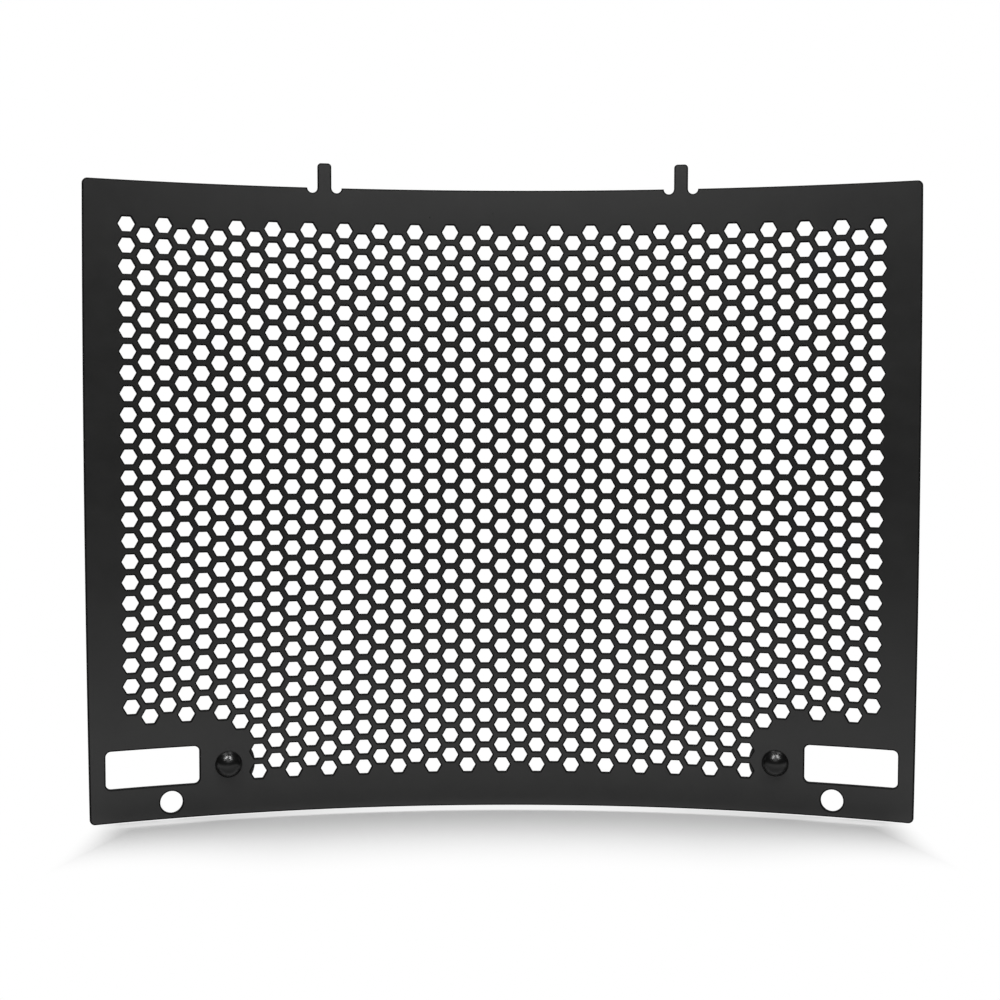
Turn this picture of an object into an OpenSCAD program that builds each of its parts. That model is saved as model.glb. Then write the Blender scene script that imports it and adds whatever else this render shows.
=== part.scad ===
/* [Sheet] */
// Width of the flat sheet at mid height, measured along the roll
panel_w = 324.5; // [310:0.5:360]
// Height of the sheet between its lower and upper edges
panel_h = 245; // [232:0.5:280]
// Thickness of the sheet
sheet_t = 1.5; // [1:0.1:2.5]
// Radius of the roll at the middle of the sheet's thickness
bend_r = 420; // [320:5:800]
// How far each side edge curves in from mid height to its two corners
side_bow = 0.6; // [0.1:0.1:3]
// Radius of the sheet's four corners
corner_r = 2; // [1:0.5:6]

/* [Mesh] */
// Size of a hexagonal hole across its flats
hex_af = 5.5; // [4.5:0.1:6.2]
// Distance between hole centres
hex_pitch = 8; // [7.6:0.1:9.5]
// Least border between the mesh and the upper and lower edges
mesh_edge = 13; // [9:0.5:20]
// Least border between the mesh and the side edges
mesh_side = 12.5; // [9:0.5:20]
// Width of the plain plate in each lower corner
plate_w = 54; // [52:0.5:70]
// Height of the plain plate in each lower corner
plate_h = 39; // [36:0.5:50]

/* [Tabs] */
// Distance of each tab from the middle of the sheet
tab_x = 70; // [40:1:110]
// Width of a tab
tab_w = 5.4; // [4:0.1:12]
// Height of a tab above the upper edge
tab_h = 9.5; // [6:0.5:20]
// Radius of a tab's upper corners
tab_r = 1.4; // [0.5:0.1:1.9]
// Radius of the bend relief on each side of a tab
relief_r = 2; // [1:0.1:3]

/* [Slots and bolt holes] */
// Distance of each slot's centre from the side edge
slot_edge = 24.5; // [23:0.5:25.5]
// Height of each slot's centre above the lower edge
slot_z = 20.5; // [20:0.1:22]
// Width of a slot
slot_w = 35.6; // [20:0.1:37]
// Height of a slot
slot_h = 14.6; // [8:0.1:17]
// Radius of a slot's corners
slot_r = 2; // [1:0.1:3.5]
// Distance of each bolt hole from the side edge
bolt_edge = 31.5; // [12:0.5:50]
// Height of each bolt hole's centre above the lower edge
bolt_z = 6.5; // [6:0.1:7.5]
// Diameter of a bolt hole
bolt_d = 8.6; // [5:0.1:9.4]

/* [Rubber buffers] */
// Distance of each buffer from the side edge
buffer_edge = 53.6; // [53:0.1:56]
// Height of each buffer above the lower edge
buffer_z = 19.9; // [17:0.1:24]
// Diameter of the hole that a buffer is pushed through
buffer_hole_d = 6; // [4:0.1:7.5]
// Diameter of the domed head in front of the sheet
head_d = 10.5; // [9:0.1:12]
// Height of the domed head
head_h = 4; // [2.5:0.1:4.5]
// Diameter of the foot behind the sheet
foot_d = 21; // [14:0.5:22.5]
// Thickness of the foot
foot_h = 5; // [3:0.5:10]
// Radius of the foot's outer edges
foot_r = 0.8; // [0.2:0.1:1.4]
// Clearance between a buffer and the sheet
fit_gap = 0.1; // [0.05:0.05:0.3]

/* [Hidden] */

DEG = 180 / PI;
ROOT3 = sqrt(3);
PAST = 1;                               // how far a cutter runs past a face
COAT = "#333436";
RUBBER = "#161616";

r_in = bend_r - sheet_t / 2;            // front face, the hollow side
r_out = bend_r + sheet_t / 2;           // rear face
hex_r = hex_af / ROOT3;                 // centre to corner
slot_x = panel_w / 2 - slot_edge;       // places along the sheet, from its middle
bolt_x = panel_w / 2 - bolt_edge;
buffer_x = panel_w / 2 - buffer_edge;
col_pitch = hex_pitch * ROOT3 / 2;
side_cols = floor((panel_w / 2 - mesh_side - hex_r) / col_pitch);
rows = floor((panel_h - 2 * mesh_edge - hex_af - hex_pitch / 2) / hex_pitch) + 1;
first_row = (panel_h + (rows - 0.5) * hex_pitch) / 2;
mesh_half = (side_cols + 0.5) * col_pitch;
foot_clear = foot_d / 2 + 0.5;          // no hole centre lies closer to a buffer

// The sheet is rolled in flats one mesh column wide, so each column is punched square to its flat
border_stop = (panel_w / 2 + mesh_half) / 2;
stops = concat(
    [-panel_w / 2, -border_stop],
    [for (i = [0 : 2 * side_cols + 1]) (i - side_cols - 0.5) * col_pitch],
    [border_stop, panel_w / 2]);

// Front and rear of the rolled sheet, which set the middle of its depth
front_y = r_in * cos(panel_w / 2 / bend_r * DEG);
rear_y = r_out * cos(col_pitch / 2 / bend_r * DEG);
mid_y = (front_y + rear_y) / 2;

// A point on the roll, u along the sheet from its middle and r from the roll's axis
function on_roll(u, r) = [r * sin(u / bend_r * DEG), r * cos(u / bend_r * DEG)];

// Turns its children from the middle of the sheet to u
module roll(u) rotate([0, 0, -u / bend_r * DEG]) children();

// Punches a flat outline straight through the sheet at u
module punch(u)
    roll(u) translate([0, r_out + PAST, 0]) rotate([90, 0, 0])
        linear_extrude(sheet_t + 2 * PAST) children();

module rounded_slot(w, h, r) {
    square([w - 2 * r, h], center = true);
    square([w, h - 2 * r], center = true);
    for (x = [-1, 1], y = [-1, 1])
        translate([x * (w / 2 - r), y * (h / 2 - r)]) circle(r, $fn = 48);
}

// One column of hexagons, left out where the corner plate and the buffer's foot need plain sheet
module hex_column(c) {
    u = abs(c) * col_pitch;
    drop = c % 2 == 0 ? 0.5 : 0;
    for (i = [0 : rows - 1]) {
        z = first_row - (i + drop) * hex_pitch;
        on_plate = u > panel_w / 2 - plate_w && z < plate_h;
        on_foot = norm([u - buffer_x, z - buffer_z]) < foot_clear;
        if (!on_plate && !on_foot)
            translate([0, z]) polygon([for (k = [0 : 5]) hex_r * [cos(60 * k), sin(60 * k)]]);
    }
}

// What is cut away around one tab: the strip above the edge on both sides of it, and its two bend reliefs
module tab_surround() {
    reach = tab_w / 2 + 2 * relief_r;
    difference() {
        union() {
            translate([-reach, panel_h]) square([2 * reach, tab_h + PAST]);
            for (s = [-1, 1]) translate([s * (tab_w / 2 + relief_r), panel_h]) circle(relief_r, $fn = 48);
        }
        translate([-tab_w / 2, 0]) square([tab_w, panel_h + tab_h - tab_r]);
        translate([tab_r - tab_w / 2, 0]) square([tab_w - 2 * tab_r, panel_h + tab_h]);
        for (s = [-1, 1])
            translate([s * (tab_w / 2 - tab_r), panel_h + tab_h - tab_r]) circle(tab_r, $fn = 48);
    }
}

// The rest of the strip above the upper edge, between and outside the tabs
module edge_strip() {
    inner = on_roll(tab_x - tab_w / 2 - relief_r, r_in)[0];
    outer = on_roll(tab_x + tab_w / 2 + relief_r, r_out)[0];
    far = r_out;
    strip = [far, sheet_t + rear_y - front_y + 2 * PAST, tab_h + 2 * PAST];
    translate([-inner, front_y - PAST, panel_h]) cube([2 * inner, strip[1], strip[2]]);
    for (s = [-1, 1])
        translate([s > 0 ? outer : -outer - far, front_y - PAST, panel_h]) cube(strip);
}

// What is cut away at the right side edge: the outside of its shallow curve, and the corners' roundings
module side_trim() {
    steps = 24;
    polygon(concat(
        [for (i = [0 : steps])
            [-side_bow * pow(2 * i / steps - 1, 2), corner_r + i / steps * (panel_h - 2 * corner_r)]],
        [[-side_bow, panel_h + PAST], [PAST, panel_h + PAST], [PAST, -PAST], [-side_bow, -PAST]]));
    for (up = [0, 1])
        translate([-side_bow, up * panel_h]) scale([1, up > 0 ? 1 : -1])
            difference() {
                translate([-corner_r, -corner_r]) square(corner_r + PAST);
                translate([-corner_r, -corner_r]) circle(corner_r, $fn = 48);
            }
}

module guard_panel()
    color(COAT) translate([0, -mid_y, 0]) difference() {
        linear_extrude(panel_h + tab_h)
            polygon(concat(
                [for (u = stops) on_roll(u, r_out)],
                [for (i = [1 : len(stops)]) on_roll(stops[len(stops) - i], r_in)]));
        for (c = [-side_cols : side_cols]) punch(c * col_pitch) hex_column(c);
        edge_strip();
        for (s = [-1, 1]) {
            punch(s * tab_x) tab_surround();
            punch(s * panel_w / 2) scale([s, 1]) side_trim();
            punch(s * slot_x) translate([0, slot_z]) rounded_slot(slot_w, slot_h, slot_r);
            punch(s * bolt_x) translate([0, bolt_z]) circle(d = bolt_d, $fn = 96);
            punch(s * buffer_x) translate([0, buffer_z]) circle(d = buffer_hole_d, $fn = 96);
        }
    }

// Half section of a buffer: x is its radius and y runs forward from the sheet's front face
module buffer_section() {
    dome_r = (pow(head_d / 2, 2) + pow(head_h, 2)) / (2 * head_h);
    foot_front = -sheet_t - fit_gap;
    neck_r = buffer_hole_d / 2 - fit_gap;
    translate([0, foot_front - foot_h + foot_r]) square([foot_d / 2, foot_h - 2 * foot_r]);
    translate([0, foot_front - foot_h]) square([foot_d / 2 - foot_r, foot_h]);
    for (y = [foot_r, foot_h - foot_r])
        translate([foot_d / 2 - foot_r, foot_front - foot_h + y]) circle(foot_r, $fn = 48);
    translate([0, foot_front - foot_h / 2]) square([neck_r, sheet_t + 2 * fit_gap + foot_h / 2 + head_h / 2]);
    intersection() {
        translate([0, fit_gap]) square([head_d, head_h]);
        translate([0, fit_gap + head_h - dome_r]) circle(dome_r, $fn = 96);
    }
}

module buffer(s)
    color(RUBBER) translate([0, -mid_y, 0]) roll(s * buffer_x)
        translate([0, r_in, buffer_z]) rotate([90, 0, 0])
            rotate_extrude($fn = 96) buffer_section();

module buffer_left() buffer(-1);

module buffer_right() buffer(1);

guard_panel();
buffer_left();
buffer_right();
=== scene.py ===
"""Motorcycle radiator guard: a rolled sheet with a hexagonal mesh and two rubber buffers.

Lengths are in metres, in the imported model's frame. The guard stands on its lower edge, its hollow
front faces -Y, and the camera stands in front of it.
"""
import math

import bmesh
import bpy
from mathutils import Matrix, Vector
from mathutils.geometry import delaunay_2d_cdt

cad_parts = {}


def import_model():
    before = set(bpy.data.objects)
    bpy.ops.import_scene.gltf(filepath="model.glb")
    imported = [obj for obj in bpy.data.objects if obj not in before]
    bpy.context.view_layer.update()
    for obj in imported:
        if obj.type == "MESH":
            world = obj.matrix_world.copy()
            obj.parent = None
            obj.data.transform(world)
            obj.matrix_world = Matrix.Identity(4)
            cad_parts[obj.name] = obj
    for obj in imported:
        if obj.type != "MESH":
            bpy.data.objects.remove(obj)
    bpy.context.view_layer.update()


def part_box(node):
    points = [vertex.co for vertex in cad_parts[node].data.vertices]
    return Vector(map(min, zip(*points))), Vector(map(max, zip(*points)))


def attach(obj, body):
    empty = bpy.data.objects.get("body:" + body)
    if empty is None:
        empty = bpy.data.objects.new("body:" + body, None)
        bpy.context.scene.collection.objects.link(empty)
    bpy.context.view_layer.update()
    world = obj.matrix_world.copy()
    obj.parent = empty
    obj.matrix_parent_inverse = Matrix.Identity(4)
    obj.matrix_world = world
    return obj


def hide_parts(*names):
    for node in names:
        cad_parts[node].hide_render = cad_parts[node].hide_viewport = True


MM = 0.001

# Sheet, laid out flat: u runs along it from its middle, v up from its lower edge
SHEET_W = 324.5 * MM
SHEET_H = 245 * MM
SHEET_T = 1.5 * MM
BEND_R = 420 * MM
SIDE_BOW = 0.6 * MM
SIDE_STEPS = 24
CORNER_R = 2 * MM

# Mesh
PITCH = 8 * MM
HOLE_AF = 5.5 * MM
HOLE_CORNER_R = 0.25 * MM
SIDE_COLUMNS = 21
ROWS = 27
PLATE_W = 54 * MM
PLATE_H = 39 * MM

# Tabs with their bend reliefs
TAB_U = 70 * MM
TAB_W = 5.4 * MM
TAB_H = 9.5 * MM
TAB_R = 1.4 * MM
RELIEF_R = 2 * MM

# Slots and bolt holes
SLOT_U = SHEET_W / 2 - 24.5 * MM
SLOT_V = 20.5 * MM
SLOT_W = 35.6 * MM
SLOT_H = 14.6 * MM
SLOT_R = 2 * MM
BOLT_U = SHEET_W / 2 - 31.5 * MM
BOLT_V = 6.5 * MM
BOLT_D = 8.6 * MM

# Rubber buffers
BUFFER_U = SHEET_W / 2 - 53.6 * MM
BUFFER_V = 19.9 * MM
BUFFER_HOLE_D = 6 * MM
HEAD_D = 10.5 * MM
HEAD_H = 4 * MM
FOOT_D = 21 * MM
FOOT_H = 5 * MM
FOOT_R = 0.8 * MM
FIT_GAP = 0.1 * MM
DOME_STEPS = 20
FOOT_STEPS = 6
TURN_STEPS = 64

# Cut edges: a narrow flat band on the front, a rounded front edge and an eased rear edge
EDGE_BAND = 0.15 * MM
RIM_R = 0.4 * MM
RIM_STEPS = 2
REAR_CHAMFER = 0.3 * MM
EDGE_W = EDGE_BAND + RIM_R
ARC_STEPS = 8
CIRCLE_STEPS = 48

# Points closer than these are one
CLOSE = 1e-4 * MM
BORDER_WELD = 0.002 * MM
SHEET_WELD = 0.005 * MM

# What follows from the sizes above
COLUMN_PER_PITCH = math.sqrt(3) / 2
COLUMN_PITCH = PITCH * COLUMN_PER_PITCH
CELL_R = PITCH / math.sqrt(3)
HOLE_R = HOLE_AF / math.sqrt(3)
FIRST_ROW = (SHEET_H + (ROWS - 0.5) * PITCH) / 2
FOOT_CLEAR = FOOT_D / 2 + 0.5 * MM
R_IN = BEND_R - SHEET_T / 2

# Floor, where white is 1. Each pair is where a fade starts and ends: the first three are measured
# forwards from the sheet, the next three sideways from its middle, and the last one along Y
FLOOR_GREY = 0.31
FLOOR_HALF = 3
FLOOR_DROP = 0.02 * MM
FOOT_GLOW = (-1 * MM, 3 * MM)
STRIP_EDGE = (6 * MM, 9.5 * MM)
SHADOW_FADE = (8 * MM, 90 * MM)
STRIP_SIDES = (20 * MM, 140 * MM)
SHADOW_SIDES = (70 * MM, 150 * MM)
SHADOW_ENDS = (138 * MM, 158 * MM)
PAPER_EDGE = (-620 * MM, -270 * MM)
# STRIP_GLOW and STRIP_DIMMING set the painted strip of light along the foot, and SHADOW_SHORTENING
# paints the shadow's fade sooner at the sides
STRIP_GLOW = 0.82
STRIP_DIMMING = 0.45
SHADOW_SHORTENING = 0.5

# Room: its light, and where its white wall behind the guard starts and ends in reflections
ROOM_LIGHT = 0.015
WALL_FADE = (0.2, 0.7)

# Lamps: name, place, aim, size and watts
LAMPS = (
    ("camera_panel", (0, -0.62, 0.44), (0, 0, 0.2), (0.3, 0.2), 0.44),
    ("top_softbox", (0, 0.35, 1.3), (0, 0, 0.05), (0.9, 0.6), 29),
    ("front_softbox", (-0.38, -0.62, 1.25), (0, 0, 0.1), (0.24, 0.72), 16),
    ("front_softbox", (0.38, -0.62, 1.25), (0, 0, 0.1), (0.24, 0.72), 16),
)

# Camera, from the perspective of the hole pattern in the photograph; angles are in degrees
FOCAL_LENGTH = 55.63
SENSOR_WIDTH = 36
NEAREST_SEEN = 0.01
CAMERA_AWAY = 615.21 * MM
CAMERA_SHIFT_X = 0.95 * MM
CAMERA_SHIFT_Z = -0.39 * MM
CAMERA_TILT = 2.975
CAMERA_TURN = 0.814
CAMERA_ROLL = 0.071


def roll_axis():
    """How far the roll's axis lies in front of the frame's origin."""
    low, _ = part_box("guard_panel")
    return R_IN * math.cos(SHEET_W / 2 / BEND_R) - low.y


# Outlines on the flat sheet. The metal always lies on their left.

def arc(centre, radius, start, end, steps=ARC_STEPS):
    """Points of an arc from one angle to another, in degrees, both ends included."""
    angles = [math.radians(start + (end - start) * i / steps) for i in range(steps + 1)]
    return [(centre[0] + radius * math.cos(a), centre[1] + radius * math.sin(a)) for a in angles]


def tab_outline(middle):
    """One tab and its bend reliefs, from right to left along the upper edge."""
    relief = TAB_W / 2 + RELIEF_R
    top = SHEET_H + TAB_H - TAB_R
    side = TAB_W / 2 - TAB_R
    return (
        arc((middle + relief, SHEET_H), RELIEF_R, 0, -180)
        + arc((middle + side, top), TAB_R, 0, 90)
        + arc((middle - side, top), TAB_R, 90, 180)
        + arc((middle - relief, SHEET_H), RELIEF_R, 0, -180)
    )


def side_curve():
    """The right side edge between its corners, upwards: it bows out a little at mid height."""
    points = []
    for i in range(1, SIDE_STEPS):
        t = i / SIDE_STEPS
        inset = SIDE_BOW * (2 * t - 1) ** 2
        points.append((SHEET_W / 2 - inset, CORNER_R + t * (SHEET_H - 2 * CORNER_R)))
    return points


def sheet_outline():
    """The outer edge of the sheet, counter-clockwise from its lower left corner."""
    x = SHEET_W / 2 - SIDE_BOW - CORNER_R
    top = SHEET_H - CORNER_R
    side = side_curve()
    return (
        arc((-x, CORNER_R), CORNER_R, 180, 270)
        + arc((x, CORNER_R), CORNER_R, 270, 360)
        + side
        + arc((x, top), CORNER_R, 0, 90)
        + tab_outline(TAB_U)
        + tab_outline(-TAB_U)
        + arc((-x, top), CORNER_R, 90, 180)
        + [(-u, v) for u, v in reversed(side)]
    )


def round_hole(centre, diameter):
    return arc(centre, diameter / 2, 0, -360, CIRCLE_STEPS)[:-1]


def slot_hole(centre):
    x = SLOT_W / 2 - SLOT_R
    z = SLOT_H / 2 - SLOT_R
    points = []
    for dx, dz, start in ((x, z, 90), (x, -z, 0), (-x, -z, -90), (-x, z, 180)):
        points += arc((centre[0] + dx, centre[1] + dz), SLOT_R, start, start - 90)
    return points


def offset(outline, distance):
    """Moves a closed outline towards the metal, with mitred corners."""
    moved = []
    count = len(outline)
    for i, point in enumerate(outline):
        here = Vector(point)
        before = (here - Vector(outline[i - 1])).normalized()
        after = (Vector(outline[(i + 1) % count]) - here).normalized()
        left = Vector((-before.y, before.x)) + Vector((-after.y, after.x))
        left.normalize()
        stretch = left.dot(Vector((-after.y, after.x)))
        moved.append(tuple(here + left * (distance / stretch)))
    return moved


def split_at(outline, cuts):
    """Adds a point to a closed outline wherever it crosses one of the upright cut lines."""
    points = []
    for i, (x0, z0) in enumerate(outline):
        x1, z1 = outline[(i + 1) % len(outline)]
        points.append((x0, z0))
        crossed = [c for c in cuts if min(x0, x1) + CLOSE < c < max(x0, x1) - CLOSE]
        for c in sorted(crossed, reverse=x1 < x0):
            points.append((c, z0 + (z1 - z0) * (c - x0) / (x1 - x0)))
    return points


def rim_profile():
    """(distance into the hole, depth) of each ring of a cut edge, from front to rear."""
    front, rear = -SHEET_T / 2, SHEET_T / 2
    rings = [(0, front)]
    for i in range(RIM_STEPS + 1):
        turn = math.radians(90 * i / RIM_STEPS)
        rings.append((EDGE_BAND + RIM_R * math.sin(turn), front + RIM_R * (1 - math.cos(turn))))
    return rings + [(EDGE_W, rear - REAR_CHAMFER), (0, rear)]


# The mesh's lattice

def holes():
    """Places of the hexagonal holes. The lower corners and the feet's surroundings stay plain."""
    places = []
    for c in range(-SIDE_COLUMNS, SIDE_COLUMNS + 1):
        u = c * COLUMN_PITCH
        drop = 0.5 if c % 2 == 0 else 0
        for i in range(ROWS):
            v = FIRST_ROW - (i + drop) * PITCH
            on_plate = abs(u) > SHEET_W / 2 - PLATE_W and v < PLATE_H
            on_foot = math.hypot(abs(u) - BUFFER_U, v - BUFFER_V) < FOOT_CLEAR
            if not (on_plate or on_foot):
                places.append((u, v))
    return places


def hexagon(centre, radius):
    """The six corners of a hexagon with flats above and below, counter-clockwise."""
    return arc(centre, radius, 0, 300, 5)


def mesh_border(places):
    """The edges that only one cell of the mesh has, which bound the mesh."""
    edges = {}
    for place in places:
        ring = hexagon(place, CELL_R)
        for a, b in zip(ring, ring[1:] + ring[:1]):
            key = frozenset((round(x / MM, 3), round(z / MM, 3)) for x, z in (a, b))
            edges[key] = None if key in edges else (a, b)
    return [e for e in edges.values() if e]


def cut_lines():
    """Upright lines that the sheet bends along, through the cells' corners and out to the sides."""
    lines = set()
    for c in range(-SIDE_COLUMNS, SIDE_COLUMNS + 1):
        lines.add(c * COLUMN_PITCH - CELL_R / 2)
        lines.add(c * COLUMN_PITCH + CELL_R / 2)
    end = SIDE_COLUMNS * COLUMN_PITCH + CELL_R
    while end < SHEET_W / 2 - SIDE_BOW - CORNER_R:
        lines |= {-end, end}
        end += CELL_R
    return sorted(lines)


# Mesh building

def finished_mesh(bm, name, material):
    mesh = bpy.data.meshes.new(name)
    bm.to_mesh(mesh)
    bm.free()
    mesh.materials.append(material)
    return mesh


def add_object(name, mesh):
    obj = bpy.data.objects.new(name, mesh)
    bpy.context.scene.collection.objects.link(obj)
    return obj


def add_rims(bm, outline):
    """Builds the rounded edge of one outline, and returns its first and last ring."""
    cut = bm.faces.layers.float.get("cut_edge") or bm.faces.layers.float.new("cut_edge")
    rings = []
    for into_hole, depth in rim_profile():
        rings.append([bm.verts.new((x, depth, z)) for x, z in offset(outline, -into_hole)])
    for near, far in zip(rings, rings[1:]):
        for i in range(len(outline)):
            j = (i + 1) % len(outline)
            bm.faces.new((near[i], far[i], far[j], near[j]))[cut] = 1
    return rings[0], rings[-1]


def inside(point, edges):
    """Whether a point lies in the metal: a line from it then crosses an odd number of edges."""
    x, z = point
    odd = False
    for (x0, z0), (x1, z1) in edges:
        if (z0 > z) != (z1 > z) and x < x0 + (x1 - x0) * (z - z0) / (z1 - z0):
            odd = not odd
    return odd


def flat_border(coat):
    """The plain metal round the mesh, flat, with all its cut edges but the hexagonal ones."""
    cuts = cut_lines()
    loops = [sheet_outline()]
    for side in (-1, 1):
        loops.append(slot_hole((side * SLOT_U, SLOT_V)))
        loops.append(round_hole((side * BOLT_U, BOLT_V), BOLT_D))
        loops.append(round_hole((side * BUFFER_U, BUFFER_V), BUFFER_HOLE_D))
    loops = [split_at(offset(loop, EDGE_W), cuts) for loop in loops]
    bounds = [e for loop in loops for e in zip(loop, loop[1:] + loop[:1])]
    bounds += mesh_border(holes())

    bm = bmesh.new()
    for loop in loops:
        add_rims(bm, loop)

    # The flat faces, cut along the bend lines; the triangulation works in millimetres
    lines = [((x, -PITCH), (x, SHEET_H + 2 * PITCH)) for x in cuts]
    ends = [Vector(p) / MM for edge in bounds + lines for p in edge]
    pairs = [(2 * i, 2 * i + 1) for i in range(len(bounds) + len(lines))]
    points, _, faces, *_ = delaunay_2d_cdt(ends, pairs, [], 0, CLOSE / MM)
    for face in faces:
        corner = [points[i] * MM for i in face]
        middle = sum(corner, Vector((0, 0))) / len(corner)
        if inside(middle, bounds):
            for depth, order in ((-SHEET_T / 2, corner), (SHEET_T / 2, corner[::-1])):
                bm.faces.new([bm.verts.new((p.x, depth, p.y)) for p in order])
    bmesh.ops.remove_doubles(bm, verts=bm.verts, dist=BORDER_WELD)
    return finished_mesh(bm, "border", coat)


def cell(coat):
    """One cell of the mesh: a hexagonal hole with rounded edges, out to the middle of its webs."""
    bm = bmesh.new()
    blunt = HOLE_CORNER_R * math.tan(math.radians(30))
    hole = []
    ring = hexagon((0, 0), HOLE_R)
    for i in reversed(range(6)):
        here = Vector(ring[i])
        for neighbour in (ring[(i + 1) % 6], ring[i - 1]):
            hole.append(tuple(here + (Vector(neighbour) - here).normalized() * blunt))
    front, rear = add_rims(bm, offset(hole, EDGE_W))
    for depth, inner, is_rear in ((-SHEET_T / 2, front, False), (SHEET_T / 2, rear, True)):
        outer = [bm.verts.new((x, depth, z)) for x, z in reversed(hexagon((0, 0), CELL_R))]
        for i in range(6):
            j = (i + 1) % 6
            corner = [outer[i], inner[2 * i], inner[2 * i + 1]]
            side = [outer[i], inner[2 * i + 1], inner[2 * j], outer[j]]
            for face in (corner, side):
                bm.faces.new(face[::-1] if is_rear else face)
    return finished_mesh(bm, "cell", coat)


# Node trees

def feed(tree, socket, value):
    """Links a socket to another one, or sets it to a constant."""
    if isinstance(value, bpy.types.NodeSocket):
        tree.links.new(value, socket)
    else:
        socket.default_value = value


def add_node(tree, kind, settings=None, **inputs):
    """Adds a node. Inputs go by name, with _ for a space."""
    node = tree.nodes.new(kind)
    for name, value in (settings or {}).items():
        setattr(node, name, value)
    for name, value in inputs.items():
        feed(tree, node.inputs[name.replace("_", " ")], value)
    return node


def calc(tree, operation, *values):
    node = tree.nodes.new("ShaderNodeMath")
    node.operation = operation
    for socket, value in zip(node.inputs, values):
        feed(tree, socket, value)
    return node.outputs[0]


def length(tree, a, b):
    """The length of the long side of a right triangle."""
    squares = calc(tree, "MULTIPLY", a, a), calc(tree, "MULTIPLY", b, b)
    return calc(tree, "SQRT", calc(tree, "ADD", *squares))


GUARD_INPUTS = (
    ("Cell", "NodeSocketObject"),
    ("Coat", "NodeSocketMaterial"),
    ("Cut coat", "NodeSocketMaterial"),
    ("Rows", "NodeSocketInt"),
    ("Side columns", "NodeSocketInt"),
    ("Pitch", "NodeSocketFloat"),
    ("First row", "NodeSocketFloat"),
    ("Plate start", "NodeSocketFloat"),
    ("Plate height", "NodeSocketFloat"),
    ("Foot place", "NodeSocketFloat"),
    ("Foot height", "NodeSocketFloat"),
    ("Foot clear", "NodeSocketFloat"),
    ("Bend radius", "NodeSocketFloat"),
    ("Axis depth", "NodeSocketFloat"),
)


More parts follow.
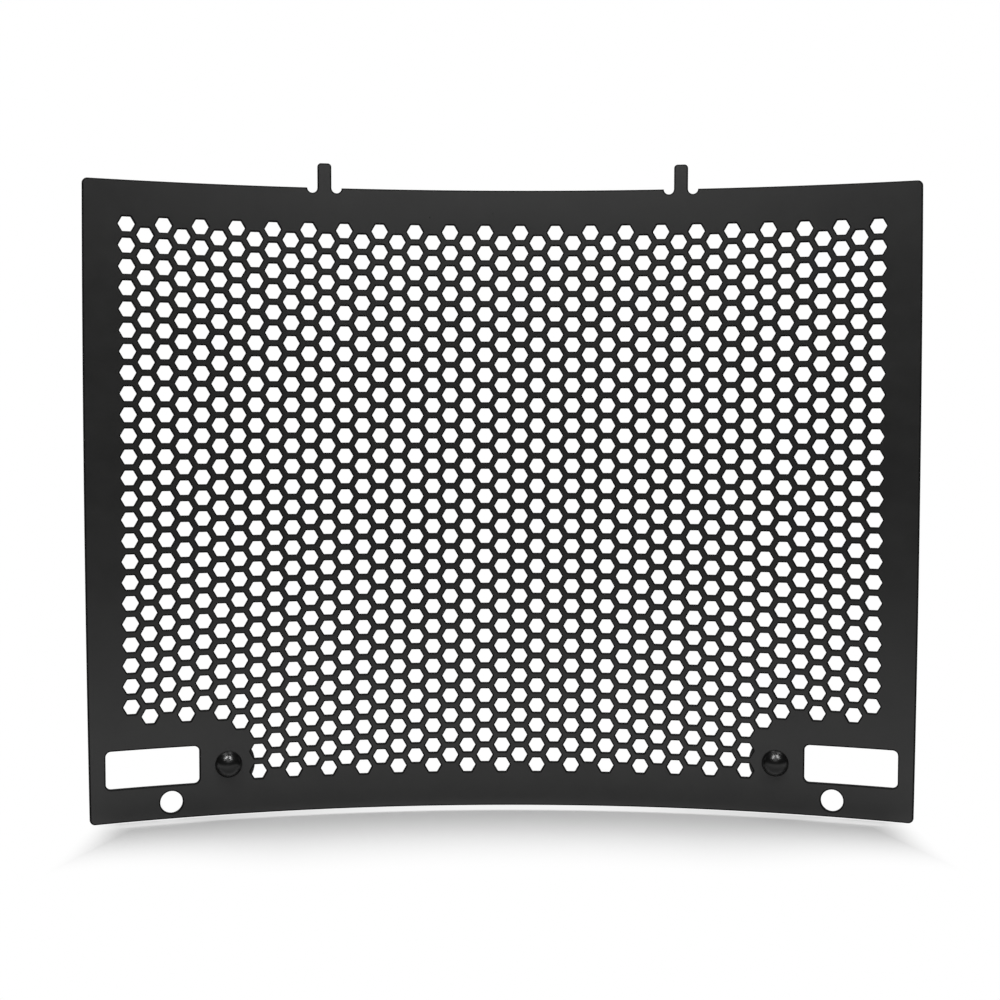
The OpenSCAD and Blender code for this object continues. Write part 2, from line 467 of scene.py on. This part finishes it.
def guard_tree():
    """Sets the mesh's cells beside the flat border, joins them and rolls the whole sheet."""
    tree = bpy.data.node_groups.new("guard_sheet", "GeometryNodeTree")
    tree.interface.new_socket("Geometry", in_out="INPUT", socket_type="NodeSocketGeometry")
    for name, kind in GUARD_INPUTS:
        tree.interface.new_socket(name, in_out="INPUT", socket_type=kind)
    tree.interface.new_socket("Geometry", in_out="OUTPUT", socket_type="NodeSocketGeometry")
    given = tree.nodes.new("NodeGroupInput").outputs
    result = tree.nodes.new("NodeGroupOutput").inputs["Geometry"]

    # A point for each place in the lattice: every second column sits half a pitch lower
    index = tree.nodes.new("GeometryNodeInputIndex").outputs[0]
    column_index = calc(tree, "FLOOR", calc(tree, "DIVIDE", index, given["Rows"]))
    column = calc(tree, "SUBTRACT", column_index, given["Side columns"])
    row = calc(tree, "FLOORED_MODULO", index, given["Rows"])
    odd = calc(tree, "FLOORED_MODULO", column, 2)
    drop = calc(tree, "MULTIPLY", calc(tree, "SUBTRACT", 1, odd), 0.5)
    column_pitch = calc(tree, "MULTIPLY", given["Pitch"], COLUMN_PER_PITCH)
    u = calc(tree, "MULTIPLY", column, column_pitch)
    below = calc(tree, "MULTIPLY", calc(tree, "ADD", row, drop), given["Pitch"])
    v = calc(tree, "SUBTRACT", given["First row"], below)
    place = add_node(tree, "ShaderNodeCombineXYZ", X=u, Z=v).outputs[0]
    columns = calc(tree, "MULTIPLY_ADD", given["Side columns"], 2, 1)
    count = calc(tree, "MULTIPLY", columns, given["Rows"])
    lattice = add_node(tree, "GeometryNodePoints", Count=count, Position=place).outputs[0]

    # Plain sheet stays at the lower corners and round the buffers' feet
    position = tree.nodes.new("GeometryNodeInputPosition").outputs[0]
    at = add_node(tree, "ShaderNodeSeparateXYZ", Vector=position).outputs
    aside = calc(tree, "ABSOLUTE", at["X"])
    on_plate = calc(tree, "MULTIPLY",
                    calc(tree, "GREATER_THAN", aside, given["Plate start"]),
                    calc(tree, "LESS_THAN", at["Z"], given["Plate height"]))
    from_foot = length(tree,
                       calc(tree, "SUBTRACT", aside, given["Foot place"]),
                       calc(tree, "SUBTRACT", at["Z"], given["Foot height"]))
    on_foot = calc(tree, "LESS_THAN", from_foot, given["Foot clear"])
    left_out = calc(tree, "GREATER_THAN", calc(tree, "ADD", on_plate, on_foot), 0.5)
    kept = add_node(tree, "GeometryNodeDeleteGeometry", Geometry=lattice, Selection=left_out)

    # The cells, joined to the border
    shape = add_node(tree, "GeometryNodeObjectInfo", Object=given["Cell"]).outputs["Geometry"]
    cells = add_node(tree, "GeometryNodeInstanceOnPoints", Points=kept.outputs[0], Instance=shape)
    joined = tree.nodes.new("GeometryNodeJoinGeometry")
    tree.links.new(given["Geometry"], joined.inputs[0])
    tree.links.new(cells.outputs[0], joined.inputs[0])
    real = add_node(tree, "GeometryNodeRealizeInstances", Geometry=joined.outputs[0])
    whole = add_node(tree, "GeometryNodeMergeByDistance", Geometry=real.outputs[0],
                     Distance=SHEET_WELD)

    # The roll: u becomes an angle and depth a radius
    angle = calc(tree, "DIVIDE", at["X"], given["Bend radius"])
    radius = calc(tree, "ADD", given["Bend radius"], at["Y"])
    across = calc(tree, "MULTIPLY", radius, calc(tree, "SINE", angle))
    from_axis = calc(tree, "MULTIPLY", radius, calc(tree, "COSINE", angle))
    depth = calc(tree, "SUBTRACT", from_axis, given["Axis depth"])
    rolled = add_node(tree, "ShaderNodeCombineXYZ", X=across, Y=depth, Z=at["Z"]).outputs[0]
    bent = add_node(tree, "GeometryNodeSetPosition", Geometry=whole.outputs[0], Position=rolled)

    # The coat, and on the cut edges its darker, duller kind, whose dark colour is painted shade
    smooth = add_node(tree, "GeometryNodeSetShadeSmooth", Geometry=bent.outputs[0])
    coated = add_node(tree, "GeometryNodeSetMaterial", Geometry=smooth.outputs[0],
                      Material=given["Coat"])
    cut = add_node(tree, "GeometryNodeInputNamedAttribute", {"data_type": "FLOAT"}, Name="cut_edge")
    edged = add_node(tree, "GeometryNodeSetMaterial", Geometry=coated.outputs[0],
                     Selection=cut.outputs["Attribute"], Material=given["Cut coat"])
    tree.links.new(edged.outputs[0], result)
    return tree


def set_inputs(modifier, **values):
    """Sets a modifier's inputs by the identifiers of their sockets."""
    for item in modifier.node_group.interface.items_tree:
        name = item.name.replace(" ", "_")
        if item.in_out == "INPUT" and name in values:
            modifier[item.identifier] = values[name]


def plain_copy(obj, name):
    """The evaluated object as a plain mesh object. The first one is removed."""
    graph = bpy.context.evaluated_depsgraph_get()
    mesh = bpy.data.meshes.new_from_object(obj.evaluated_get(graph), depsgraph=graph)
    mesh.name = name
    bpy.data.objects.remove(obj)
    return add_object(name, mesh)


# Materials

def new_material(name, shader_values):
    material = bpy.data.materials.new(name)
    material.use_nodes = True
    shader = material.node_tree.nodes["Principled BSDF"]
    for socket, value in shader_values.items():
        shader.inputs[socket].default_value = value
    return material, material.node_tree, shader


def grain(tree, scale, detail):
    """Noise in the object's own space, with features of about 1 / scale metres."""
    place = tree.nodes.new("ShaderNodeTexCoord").outputs["Object"]
    noise = add_node(tree, "ShaderNodeTexNoise", Vector=place, Scale=scale, Detail=detail)
    return noise.outputs["Fac"]


def in_range(tree, value, low, high):
    node = add_node(tree, "ShaderNodeMapRange", Value=value)
    node.inputs["To Min"].default_value = low
    node.inputs["To Max"].default_value = high
    return node.outputs["Result"]


def between(tree, value, dark, light):
    """A colour between a dark and a light one."""
    mix = tree.nodes.new("ShaderNodeMix")
    mix.data_type = "RGBA"
    factor, first, second = mix.inputs[0], mix.inputs[6], mix.inputs[7]
    feed(tree, factor, value)
    feed(tree, first, (*dark, 1))
    feed(tree, second, (*light, 1))
    return mix.outputs[2]


def finish(name, specular, tint, roughness, pebble):
    """A dark finish with a cloudy tint, a cloudy gloss and a fine pebbled skin.

    tint is (grain, detail, dark, light), roughness (grain, detail, low, high) and pebble
    (grain, strength).
    """
    material, tree, shader = new_material(name, {"Specular IOR Level": specular})
    scale, detail, dark, light = tint
    tree.links.new(between(tree, grain(tree, scale, detail), dark, light),
                   shader.inputs["Base Color"])
    scale, detail, low, high = roughness
    tree.links.new(in_range(tree, grain(tree, scale, detail), low, high),
                   shader.inputs["Roughness"])
    scale, strength = pebble
    bump = add_node(tree, "ShaderNodeBump", Height=grain(tree, scale, 2))
    bump.inputs["Strength"].default_value = strength
    bump.inputs["Distance"].default_value = 0.02 * MM
    tree.links.new(bump.outputs["Normal"], shader.inputs["Normal"])
    return material


def powder_coat():
    """Satin black powder coat: a fine pebbled skin with faintly cloudy gloss."""
    return finish(
        "satin_powder_coat", specular=0.38,
        tint=(45, 3, (0.0085, 0.0085, 0.0085), (0.0145, 0.0145, 0.0141)),
        roughness=(160, 3, 0.25, 0.36), pebble=(2200, 0.3))


def painted_shade_cut_coat():
    """The same coat on the cut edges, darker and duller; the darker colour is painted shade on the
    edges and hole walls.
    """
    return finish(
        "cut_edge_coat", specular=0.04,
        tint=(300, 2, (0.003, 0.003, 0.003), (0.006, 0.006, 0.006)),
        roughness=(700, 2, 0.6, 0.75), pebble=(2200, 0.3))


def buffer_rubber():
    """Glossy black moulded rubber."""
    return finish(
        "moulded_rubber", specular=0.4,
        tint=(300, 2, (0.0015, 0.0015, 0.0015), (0.003, 0.003, 0.003)),
        roughness=(250, 3, 0.27, 0.31), pebble=(900, 0.008))


# Pieces

def guard_sheet(coat, shaded_edge_coat):
    """The whole coated sheet, which stands for the CAD panel."""
    tile = add_object("cell", cell(coat))
    sheet = add_object("flat_sheet", flat_border(coat))
    rolled = sheet.modifiers.new("roll", "NODES")
    rolled.node_group = guard_tree()
    set_inputs(
        rolled, Cell=tile, Coat=coat, Cut_coat=shaded_edge_coat,
        Rows=ROWS, Side_columns=SIDE_COLUMNS, Pitch=PITCH, First_row=FIRST_ROW,
        Plate_start=SHEET_W / 2 - PLATE_W, Plate_height=PLATE_H,
        Foot_place=BUFFER_U, Foot_height=BUFFER_V, Foot_clear=FOOT_CLEAR,
        Bend_radius=BEND_R, Axis_depth=roll_axis())
    even = sheet.modifiers.new("even_shading", "WEIGHTED_NORMAL")
    even.weight = 100
    piece = plain_copy(sheet, "guard_sheet")
    bpy.data.objects.remove(tile)
    return piece


def buffer_profile():
    """(radius, distance before the sheet) down a buffer's half section, from dome to foot."""
    dome_r = ((HEAD_D / 2) ** 2 + HEAD_H ** 2) / (2 * HEAD_H)
    dome_centre = FIT_GAP + HEAD_H - dome_r
    lip = math.degrees(math.asin(HEAD_D / 2 / dome_r))
    neck = BUFFER_HOLE_D / 2 - FIT_GAP
    front = -SHEET_T - FIT_GAP
    back = front - FOOT_H
    edge = FOOT_D / 2 - FOOT_R
    return (
        arc((0, dome_centre), dome_r, 90, 90 - lip, DOME_STEPS)
        + [(neck, FIT_GAP), (neck, front)]
        + arc((edge, front - FOOT_R), FOOT_R, 90, 0, FOOT_STEPS)
        + arc((edge, back + FOOT_R), FOOT_R, 0, -90, FOOT_STEPS)
        + [(0, back)]
    )


def buffer(side, rubber):
    """One rubber buffer, turned from its half section and set square to the rolled sheet."""
    bm = bmesh.new()
    turn = [2 * math.pi * i / TURN_STEPS for i in range(TURN_STEPS)]
    rings = []
    for radius, ahead in buffer_profile():
        # A point on the axis closes the dome or the foot, and needs no ring
        angles = turn if radius > CLOSE else [0]
        rings.append([bm.verts.new((radius * math.cos(a), -ahead, radius * math.sin(a)))
                      for a in angles])
    for near, far in zip(rings, rings[1:]):
        for i in range(TURN_STEPS):
            j = (i + 1) % TURN_STEPS
            face = [near[i % len(near)], near[j % len(near)], far[j % len(far)], far[i % len(far)]]
            bm.faces.new(list(dict.fromkeys(face)))
    bmesh.ops.recalc_face_normals(bm, faces=bm.faces)
    for face in bm.faces:
        face.smooth = True

    angle = side * BUFFER_U / BEND_R
    place = Vector((R_IN * math.sin(angle), R_IN * math.cos(angle) - roll_axis(), BUFFER_V))
    bm.transform(Matrix.Translation(place) @ Matrix.Rotation(-angle, 4, "Z"))
    name = "rubber_buffer_left" if side < 0 else "rubber_buffer_right"
    return add_object(name, finished_mesh(bm, name, rubber))


# Studio

def smooth_step(tree, value, fade):
    """0 before the fade, 1 past it, and smooth between."""
    node = add_node(tree, "ShaderNodeMapRange", {"interpolation_type": "SMOOTHSTEP"}, Value=value)
    node.inputs["From Min"].default_value, node.inputs["From Max"].default_value = fade
    return node.outputs["Result"]


def seen(tree, path):
    """1 for the camera's own rays and those through glass, which see plain white."""
    return calc(tree, "MAXIMUM", path["Is Camera Ray"], path["Is Transmission Ray"])


def floor_paper():
    """White paper that keeps the guard's shadow before its foot and glows white elsewhere. The glow
    also paints a strip of light along the foot and the fading ends of the shadow.
    """
    material, tree, shader = new_material("floor_paper", {
        "Base Color": (FLOOR_GREY, FLOOR_GREY, FLOOR_GREY, 1),
        "Roughness": 0.9,
        "Specular IOR Level": 0.0,
    })
    place = tree.nodes.new("ShaderNodeTexCoord").outputs["Object"]
    at = add_node(tree, "ShaderNodeSeparateXYZ", Vector=place).outputs

    # How far a place lies in front of the rolled sheet, and how far aside of its middle
    from_axis = calc(tree, "MAXIMUM", calc(tree, "ADD", at["Y"], roll_axis()), 0)
    before = calc(tree, "SUBTRACT", R_IN, length(tree, at["X"], from_axis))
    aside = calc(tree, "ABSOLUTE", at["X"])

    # Painted light along the sheet's foot: white next to it and a bright strip before it, dimmer
    # towards the sides
    foot_glow = calc(tree, "SUBTRACT", 1, smooth_step(tree, before, FOOT_GLOW))
    strip_light = calc(tree, "MULTIPLY_ADD", smooth_step(tree, aside, STRIP_SIDES),
                       -STRIP_DIMMING, STRIP_GLOW)
    in_strip = calc(tree, "SUBTRACT", 1, smooth_step(tree, before, STRIP_EDGE))
    strip_glow = calc(tree, "MULTIPLY", strip_light, in_strip)

    # The shadow's fade to the front, sooner towards the sides, and at its two ends, painted by
    # glowing white over the real shadow
    sooner = calc(tree, "MULTIPLY_ADD", smooth_step(tree, aside, SHADOW_SIDES),
                  SHADOW_SHORTENING, 1)
    far_glow = smooth_step(tree, calc(tree, "MULTIPLY", before, sooner), SHADOW_FADE)
    end_glow = smooth_step(tree, aside, SHADOW_ENDS)
    white = calc(tree, "MAXIMUM", calc(tree, "MAXIMUM", foot_glow, strip_glow),
                 calc(tree, "MAXIMUM", far_glow, end_glow))

    # The camera sees white paper all over. As light and in reflections it ends before the guard.
    path = tree.nodes.new("ShaderNodeLightPath").outputs
    lit = smooth_step(tree, at["Y"], PAPER_EDGE)
    shown = calc(tree, "MAXIMUM", seen(tree, path), lit)
    glow = add_node(tree, "ShaderNodeEmission", Strength=shown)
    blend = tree.nodes.new("ShaderNodeMixShader")
    feed(tree, blend.inputs[0], white)
    tree.links.new(shader.outputs[0], blend.inputs[1])
    tree.links.new(glow.outputs[0], blend.inputs[2])
    tree.links.new(blend.outputs[0], tree.nodes["Material Output"].inputs["Surface"])
    return material


def floor():
    """A plain white floor that keeps the guard's shadow."""
    bm = bmesh.new()
    for x, y in ((-1, -1), (1, -1), (1, 1), (-1, 1)):
        bm.verts.new((x * FLOOR_HALF, y * FLOOR_HALF, -FLOOR_DROP))
    bm.faces.new(bm.verts)
    add_object("floor", finished_mesh(bm, "floor", floor_paper()))


def lamp(name, place, aim, size, watts):
    light = bpy.data.lights.new(name, "AREA")
    light.shape = "RECTANGLE"
    light.size, light.size_y = size
    light.energy = watts
    obj = bpy.data.objects.new(name, light)
    obj.location = place
    obj.rotation_euler = (Vector(aim) - Vector(place)).to_track_quat("-Z", "Y").to_euler()
    bpy.context.scene.collection.objects.link(obj)


def world():
    """White to the camera and in reflections from behind the guard, and a dim room elsewhere."""
    sky = bpy.data.worlds.new("studio")
    bpy.context.scene.world = sky
    sky.use_nodes = True
    tree = sky.node_tree
    background = tree.nodes["Background"]
    background.inputs["Color"].default_value = (1, 1, 1, 1)
    path = tree.nodes.new("ShaderNodeLightPath").outputs
    direction = tree.nodes.new("ShaderNodeTexCoord").outputs["Generated"]
    toward = add_node(tree, "ShaderNodeSeparateXYZ", Vector=direction).outputs
    behind = calc(tree, "MULTIPLY", path["Is Glossy Ray"],
                  smooth_step(tree, toward["Y"], WALL_FADE))
    shown = calc(tree, "MAXIMUM", seen(tree, path), behind)
    strength = in_range(tree, shown, ROOM_LIGHT, 1)
    tree.links.new(strength, background.inputs["Strength"])


def camera():
    """The photograph's own viewpoint, aimed from the sheet's middle."""
    _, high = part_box("guard_panel")
    aim = Vector((0, high.y - SHEET_T, SHEET_H / 2))
    view = (
        Matrix.Rotation(math.radians(CAMERA_ROLL), 3, "Y")
        @ Matrix.Rotation(math.radians(CAMERA_TILT), 3, "X")
        @ Matrix.Rotation(math.radians(CAMERA_TURN), 3, "Z")
    )
    away = Vector((CAMERA_SHIFT_X, CAMERA_AWAY, CAMERA_SHIFT_Z))
    turn = view.transposed() @ Matrix.Rotation(math.radians(90), 3, "X")
    lens = bpy.data.cameras.new("camera")
    lens.sensor_width = SENSOR_WIDTH
    lens.lens = FOCAL_LENGTH
    lens.clip_start = NEAREST_SEEN
    obj = bpy.data.objects.new("camera", lens)
    obj.matrix_world = Matrix.Translation(aim - view.transposed() @ away) @ turn.to_4x4()
    bpy.context.scene.collection.objects.link(obj)
    bpy.context.scene.camera = obj


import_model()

camera()
world()
floor()
for each in LAMPS:
    lamp(*each)

sheet = guard_sheet(powder_coat(), painted_shade_cut_coat())
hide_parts("guard_panel")
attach(sheet, "root")

rubber = buffer_rubber()
for side, node in ((-1, "buffer_left"), (1, "buffer_right")):
    piece = buffer(side, rubber)
    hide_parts(node)
    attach(piece, "root")

bpy.context.scene.view_settings.view_transform = "Standard"
